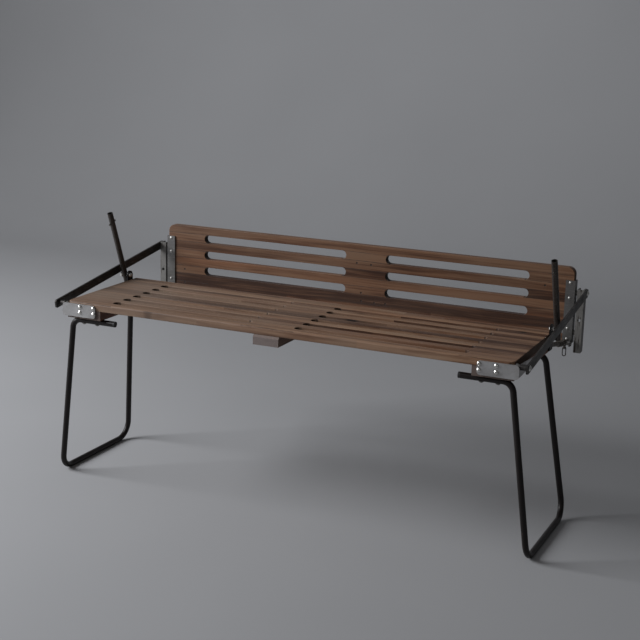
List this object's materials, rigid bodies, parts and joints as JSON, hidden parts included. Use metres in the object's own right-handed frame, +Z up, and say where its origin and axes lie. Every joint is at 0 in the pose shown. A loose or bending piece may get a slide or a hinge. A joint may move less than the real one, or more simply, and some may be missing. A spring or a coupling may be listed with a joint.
{
  "type": "slatted bench",
  "caption": "Slatted wooden bench with a low slatted back that folds forward, flat steel stays, leaning side posts and bent-tube legs.",
  "frame": {"origin": "on the floor under the middle of the whole bench's box", "axes": "+X along the bench to the sitter's left-hand end as seen from the front right, -Y towards the sitter's side, +Z up"},
  "size_m": [1.214, 0.5006, 0.6328],
  "materials": {
    "seat_wood": "oiled, worn satin",
    "back_wood": "oiled, worn satin, a little redder",
    "batten_wood": "oiled, dull",
    "bare_steel": "bare, dull and scratched",
    "bright_bolts": "bright zinc",
    "plain_fasteners": "dull zinc",
    "dark_paint": "brown-black paint",
    "worn_paint": "pale paint worn through to steel",
    "dark_steel": "dark, oiled, worn at the edges",
    "cap_plastic": "black, matt"
  },
  "bodies": {
    "seat": {"seat_front_slat": "seat_wood", "seat_middle_slats": "seat_wood", "seat_rear_slat": "seat_wood", "seat_end_blocks": "seat_wood", "seat_middle_blocks": "seat_wood", "batten_left": "batten_wood", "batten_middle": "batten_wood", "batten_right": "batten_wood", "batten_screws": "plain_fasteners", "front_plate_left": "bare_steel", "front_plate_right": "bare_steel", "front_plate_bolts": "bright_bolts", "leg_left": "dark_paint", "leg_right": "dark_paint", "leg_bolts": "plain_fasteners", "leg_caps": "cap_plastic", "ear_left": "dark_paint", "ear_right": "dark_paint", "ear_screws": "plain_fasteners", "post_pivot_bolts": "bright_bolts", "link_left": "dark_steel", "link_right": "dark_steel", "stay_front_bolts": "bright_bolts", "stay_spacers": "dark_steel"},
    "back": {"link_pins": "dark_steel", "back_top_slat": "back_wood", "back_middle_slats": "back_wood", "back_bottom_board": "back_wood", "back_end_blocks": "back_wood", "back_middle_blocks": "back_wood", "back_plate_left": "bare_steel", "back_plate_right": "bare_steel", "back_plate_screws": "plain_fasteners", "channel_left": "worn_paint", "channel_right": "worn_paint", "channel_rivets": "plain_fasteners"},
    "left_stay": {"stay_left": "dark_steel", "stay_top_bolt_left": "bright_bolts"},
    "left_post": {"post_left": "dark_steel", "post_cross_pin_left": "dark_steel"},
    "left_loop": {"wire_loop_left": "dark_steel"},
    "right_stay": {"stay_right": "dark_steel", "stay_top_bolt_right": "bright_bolts"},
    "right_post": {"post_right": "dark_steel", "post_cross_pin_right": "dark_steel"},
    "right_loop": {"wire_loop_right": "dark_steel"}
  },
  "joints": [
    {"name": "back_fold", "type": "hinge", "parent": "seat", "child": "back", "pos_m": [0, 0.2175, 0.386], "axis": [1, 0, 0], "range_deg": [0, 68]},
    {"name": "left_stay_swing", "type": "hinge", "parent": "seat", "child": "left_stay", "pos_m": [-0.584, -0.235, 0.44], "axis": [1, 0, 0], "range_deg": [-2.3, 0]},
    {"name": "right_stay_swing", "type": "hinge", "parent": "seat", "child": "right_stay", "pos_m": [0.584, -0.235, 0.44], "axis": [1, 0, 0], "range_deg": [-2.3, 0]},
    {"name": "left_post_fold", "type": "hinge", "parent": "seat", "child": "left_post", "pos_m": [-0.5705, 0.036, 0.461], "axis": [1, 0, 0], "range_deg": [0, 62]},
    {"name": "right_post_fold", "type": "hinge", "parent": "seat", "child": "right_post", "pos_m": [0.5705, 0.036, 0.461], "axis": [1, 0, 0], "range_deg": [0, 62]},
    {"name": "left_loop_swing", "type": "hinge", "parent": "seat", "child": "left_loop", "pos_m": [-0.545, 0.2175, 0.377], "axis": [1, 0, 0], "range_deg": [-60, 60]},
    {"name": "right_loop_swing", "type": "hinge", "parent": "seat", "child": "right_loop", "pos_m": [0.545, 0.2175, 0.377], "axis": [1, 0, 0], "range_deg": [-60, 60]}
  ],
  "couplings": [
    {"joint": "left_stay_swing", "follows": "back_fold", "ratio": -0.033824},
    {"joint": "right_stay_swing", "follows": "back_fold", "ratio": -0.033824}
  ]
}
